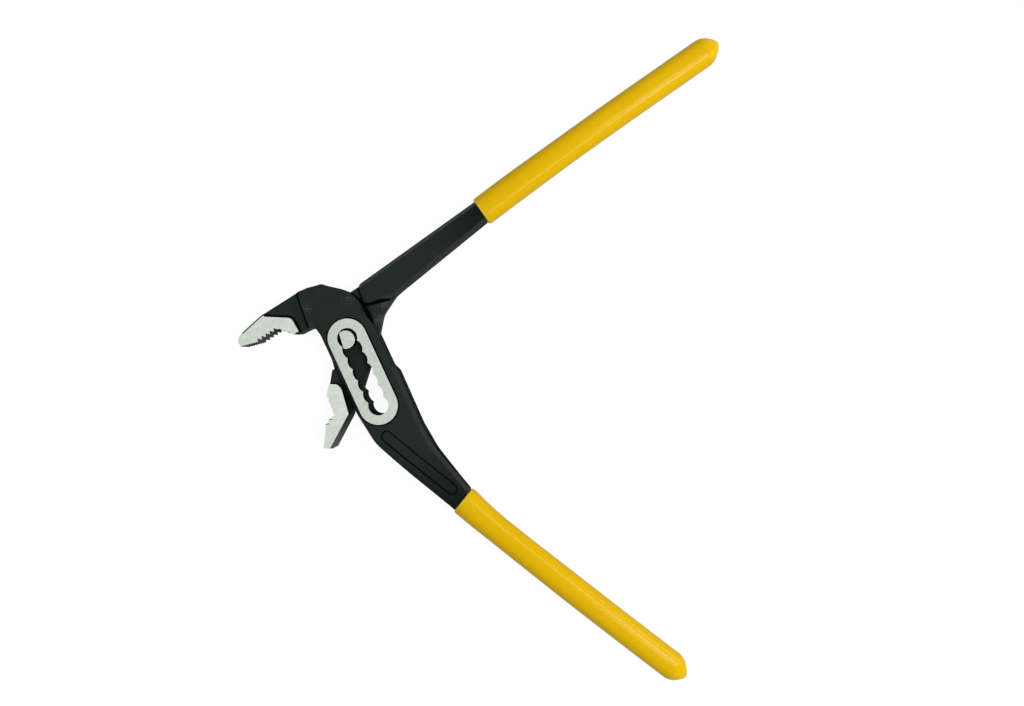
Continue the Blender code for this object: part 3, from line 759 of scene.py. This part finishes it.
# Inner arm: the second forging, phosphated black too. Its thin tongue passes between the cheeks,
# with the lower jaw on one side and the thicker neck and handle on the other.
shoulder = left_edge + 0.5
edge = right_edge + 1.0
neck_half = 3.7
tongue_half = 2.5
groove_half = 2.45
jaw_border_half = 4.4
inner_mouth = (right_edge + 65.4, 27.0)
inner_angle = 10.5
inner_steel_end = 111.8
neck = rounded([(edge + 0.8, 20.05, 2.4), (edge - 0.1, 11.1, 2.2), (edge + 7.0, 10.6, 6.0),
                (edge + 12.2, 8.3, 6.0), (edge + 17.2, 9.8, 8.0),
                along(inner_mouth, inner_angle, 5.0, -4.7), along(inner_mouth, inner_angle, 5.0, 5.1)])
inner = plate("inner_arm_forging", neck, -neck_half, neck_half, rim=1.55, draft=0.55)
eye_radius = 9.0
foot_angle = 48.0
upper_angle = 36.5
jaw_angle = 80.0
foot = along((0, 0), foot_angle - 90, 13.1)
upper = along((0, 0), upper_angle + 90, eye_radius)
jaw_side = along((0, 0), jaw_angle + 90, eye_radius)
tongue = rounded(
    [(shoulder - 3.0, -28.0), along(foot, foot_angle, -28.0), along(foot, foot_angle, 4.2) + (8.0,),
     (edge + 5.5, 3.5, 10.0), (edge + 15.0, 9.3), (edge + 15.0, 19.0), (edge + 1.5, 19.6),
     along(upper, upper_angle, 19.5)]
    + arc((0, 0), eye_radius, upper_angle + 90, jaw_angle + 90)
    + [along(jaw_side, jaw_angle, -11.0), (shoulder - 3.0, -16.0)])
blade = plate("tongue", tongue, -tongue_half, tongue_half, rim=0.25)
# Shallow grooves sunk into the tongue beside the box and along the neck's foot, which take painted shade so
# that it rides with the tongue where the arms cross.
box_side = rounded([(edge + 0.2, 1.8), (edge + 0.9, 6.0, 8.0), (edge - 0.7, 14.1, 8.0), (9.6, 20.6),
                    (7.0, 18.3), (edge - 3.5, 12.0), (edge - 3.0, 4.0), (edge - 2.6, 1.8)])
neck_foot = rounded([(edge - 0.1, 19.0), (edge - 1.2, 10.2, 2.0), (edge + 6.0, 8.8), (edge + 11.0, 8.0),
                     (edge + 11.0, 10.0), (edge + 6.5, 12.2), (edge + 2.2, 12.6), (edge + 2.2, 19.0)])
for band in (box_side, neck_foot):
    blade = sink_both(blade, band, groove_half, rim=0.0)
inner = work(inner, blade, "UNION")


def beside(first, last, share, out):
    """Point a share of the way along a tooth row, and out from the steel."""
    run = Vector(last) - Vector(first)
    return tuple(Vector(first) + run * share + Vector((run.y, -run.x)).normalized() * out)


root = (shoulder - 7.8, -18.2)
crook = (shoulder - 8.5, -28.4)
flank_end = (shoulder - 14.7, -32.3)
lower_tip = (shoulder - 19.1, -39.6)
jaw = rounded([root, beside(root, crook, 0.15, 1.5), beside(root, crook, 0.8, 1.5),
               beside(crook, flank_end, 0.3, 2.4), beside(crook, flank_end, 0.85, 2.2), flank_end,
               beside(flank_end, lower_tip, 0.1, 1.4), beside(flank_end, lower_tip, 0.97, 1.4), lower_tip,
               (shoulder - 15.7, -41.5, 0.8), (shoulder - 2.3, -31.3, 1.0), (shoulder, -27.0, 2.0),
               (shoulder, -9.8, 0.8), (shoulder - 1.4, -9.4, 0.8), (shoulder - 4.9, -14.6, 1.5)])
inner = work(inner, plate("lower_jaw", jaw, -pad_half, pad_half), "UNION")
jaw_border = rounded([(shoulder - 9.0, -12.6), (shoulder - 2.1, -16.3, 1.5), (shoulder - 1.0, -18.6, 6.0),
                      (shoulder - 2.8, -30.3, 1.0), (shoulder - 19.0, -42.5), (shoulder - 17.0, -46.0),
                      (shoulder + 6.0, -34.0), (shoulder + 6.0, -8.0), (shoulder - 9.0, -8.0)])
inner = sink_both(inner, jaw_border, jaw_border_half, rim=0.9)
inner = broach(inner, [(root, crook, 4, -0.6), (crook, flank_end, 3, -1.5), (flank_end, lower_tip, 7, -0.45)])
inner = cut_through(inner, "bore", arc((0, 0), 4.26, 0, 355))
inner = crop(inner, inner_mouth, inner_angle)
inner = add_tang(inner, inner_mouth, inner_angle, inner_steel_end)
dark_end = edge + 10.5
shape = bmesh.new()
shape.from_mesh(inner.data)
bmesh.ops.bisect_plane(shape, geom=list(shape.verts) + list(shape.edges) + list(shape.faces), dist=weld_gap,
                       plane_co=(dark_end, 0, 0), plane_no=(1, 0, 0))
shape.to_mesh(inner.data)
shape.free()
above_border = jaw_border_half + 0.01
below_pad = pad_half - 0.03
coat(inner, [forged_black, pad_steel, shade_black, lit_draft_black, lit_edge_black])
mark(inner, pad_steel, below_pad, pad_half + 0.03, True, (-math.inf, shoulder))
# Painted shade on the lower jaw's hollow walls.
mark(inner, shade_black, above_border, below_pad, False, (shoulder - 20.0, shoulder))
for face in inner.data.polygons:
    spot = face.center
    height = abs(spot.z)
    level = abs(face.normal.z)
    sunk = abs(height - groove_half) < 0.01 and level > 0.99
    neck_wall = tongue_half < height < 3.2 and level < 0.5 and spot.x < dark_end and spot.y < 18.5
    jaw_edge = above_border < height < below_pad and level < level_face and spot.x < shoulder
    flank = -33.5 < spot.y < -27.0 and spot.x < shoulder - 7.6 and face.normal.x - face.normal.y > 0.3
    drafted = 3.0 < height < neck_half - 0.01 and 0.9 < level < 0.97
    # Painted shade: near-black in the tongue's grooves and on the walls of the step from the tongue up to the
    # neck.
    if sunk or neck_wall:
        paint(inner, face, shade_black)
    elif jaw_edge and spot.y < -31.5:
        paint(inner, face, forged_black)
    # Teeth walls of the lower jaw that face right and down take the pads' bright steel: painted light where
    # they would fall dark.
    elif flank and level < 0.1:
        paint(inner, face, pad_steel)
    # Drafted faces that face up, and those far along the neck, take lighter blacks: painted light.
    elif drafted and face.normal.y > 0.1:
        paint(inner, face, lit_edge_black)
    elif drafted and spot.x > edge + 9.0:
        paint(inner, face, lit_draft_black)
dress(inner, pin_axis, steel_crease, "inner_arm", "inner_arm")


# Pivot pin: turned from bright steel and pressed into the tongue, with a flat milled on each end
# that lets it pass the cusps of the slot.
pin_half = 6.4
pin = plate("pivot_pin_steel", arc((0, 0), 4.2, 0, 355), -pin_half, pin_half, rim=0.25)
flat_angle = 172
flat_depth = 1.9
clear = 20
flat = [along((0, 0), flat_angle, flat_depth, clear), along((0, 0), flat_angle, flat_depth, -clear),
        along((0, 0), flat_angle, clear, -clear), along((0, 0), flat_angle, clear, clear)]
pin = sink_both(pin, flat, window_half, rim=0.0)
# The pin's side walls and the floors of its flats take near-black: painted shade inside the slot.
coat(pin, [ground_steel, shade_black])
mark(pin, shade_black, -1.0, pin_half - 0.01, False)
mark(pin, shade_black, window_half - 0.1, window_half + 0.1, True)
dress(pin, pin_axis, steel_crease, "pivot_pin", "pivot_pin")


# Grips: soft yellow vinyl, dipped warm over each handle so that it has no seam, with a thick rolled
# lip at the mouth and a round end.
yellow_vinyl = new_material("yellow_vinyl")
tree = yellow_vinyl.node_tree
marks = place_group(tree, mottle, {"Blotch Scale": 60.0, "Grain Scale": 560.0})
tone = blend(tree, marks["Blotch"], (0.590, 0.368, 0.0003, 1.0), (0.638, 0.407, 0.0006, 1.0))
bump = node(tree, "ShaderNodeBump", {"Height": marks["Grain"], "Distance": 0.00008, "Strength": 0.34})
cover(tree, {"Base Color": tone, "Roughness": ranged(tree, marks["Grain"], 0.13, 0.19),
             "Normal": bump.outputs[0], "Specular IOR Level": 0.08})

# Paler vinyl for the rolled lip: a painted sheen where the lip catches the light.
lip_sheen_vinyl = new_material("lip_sheen_vinyl")
tree = lip_sheen_vinyl.node_tree
marks = place_group(tree, mottle, {"Blotch Scale": 60.0, "Grain Scale": 1500.0})
tone = blend(tree, marks["Blotch"], (0.74, 0.52, 0.035, 1.0), (0.79, 0.57, 0.060, 1.0))
cover(tree, {"Base Color": tone, "Roughness": 0.3, "Specular IOR Level": 0.1})
vinyl_crease = 50


def dipped(name, mouth, angle, stations, steel_end, origin, node_name, body):
    """Grip with a rolled lip in place of its first station, and with a pocket for the steel."""
    width, side = stations[0][1:]
    roll = ((0.0, 2.6), (0.12, 1.7), (0.45, 0.75), (0.95, 0.2))
    lip = [(distance, width - drawn_in, side) for distance, drawn_in in roll]
    sleeve = sweep(name, mouth, angle, lip + stations[1:], 2.2, yellow_vinyl)
    hole = 7.0
    pocket = sweep("pocket", mouth, angle, [(tang_start, hole, 0.0), (steel_end, hole, 0.0)], round_bar,
                   yellow_vinyl)
    sleeve = work(sleeve, pocket)
    coat(sleeve, [yellow_vinyl, lip_sheen_vinyl])
    # Faces of the lip that face along the grip take the paler vinyl, a painted sheen.
    way = Vector(along((0, 0), angle, 1.0))
    for face in sleeve.data.polygons:
        from_mouth = (face.center.xy - Vector(mouth)).dot(way)
        on_lip = from_mouth < 1.0 and abs(face.normal.xy.dot(way)) > 0.2
        paint(sleeve, face, lip_sheen_vinyl if on_lip else yellow_vinyl)
    dress(sleeve, origin, vinyl_crease, node_name, body)


dipped("slotted_grip_vinyl", slotted_mouth, slotted_angle,
       [(0.0, 13.6, -0.15), (2.0, 13.6, -0.15), (10.0, 12.9, -0.65), (22.0, 12.3, -0.9), (63.0, 12.6, -0.6),
        (100.0, 12.6, 0.0), (119.78, 12.6, 0.45)],
       slotted_steel_end, first_seat, "slotted_arm_grip", "slotted_arm")
dipped("inner_grip_vinyl", inner_mouth, inner_angle,
       [(0.0, 13.4, 0.15), (2.0, 13.4, 0.15), (20.0, 13.4, 0.65), (45.0, 13.0, 1.0), (75.0, 13.0, 1.15),
        (122.4, 13.0, 0.85)],
       inner_steel_end, pin_axis, "inner_arm_grip", "inner_arm")
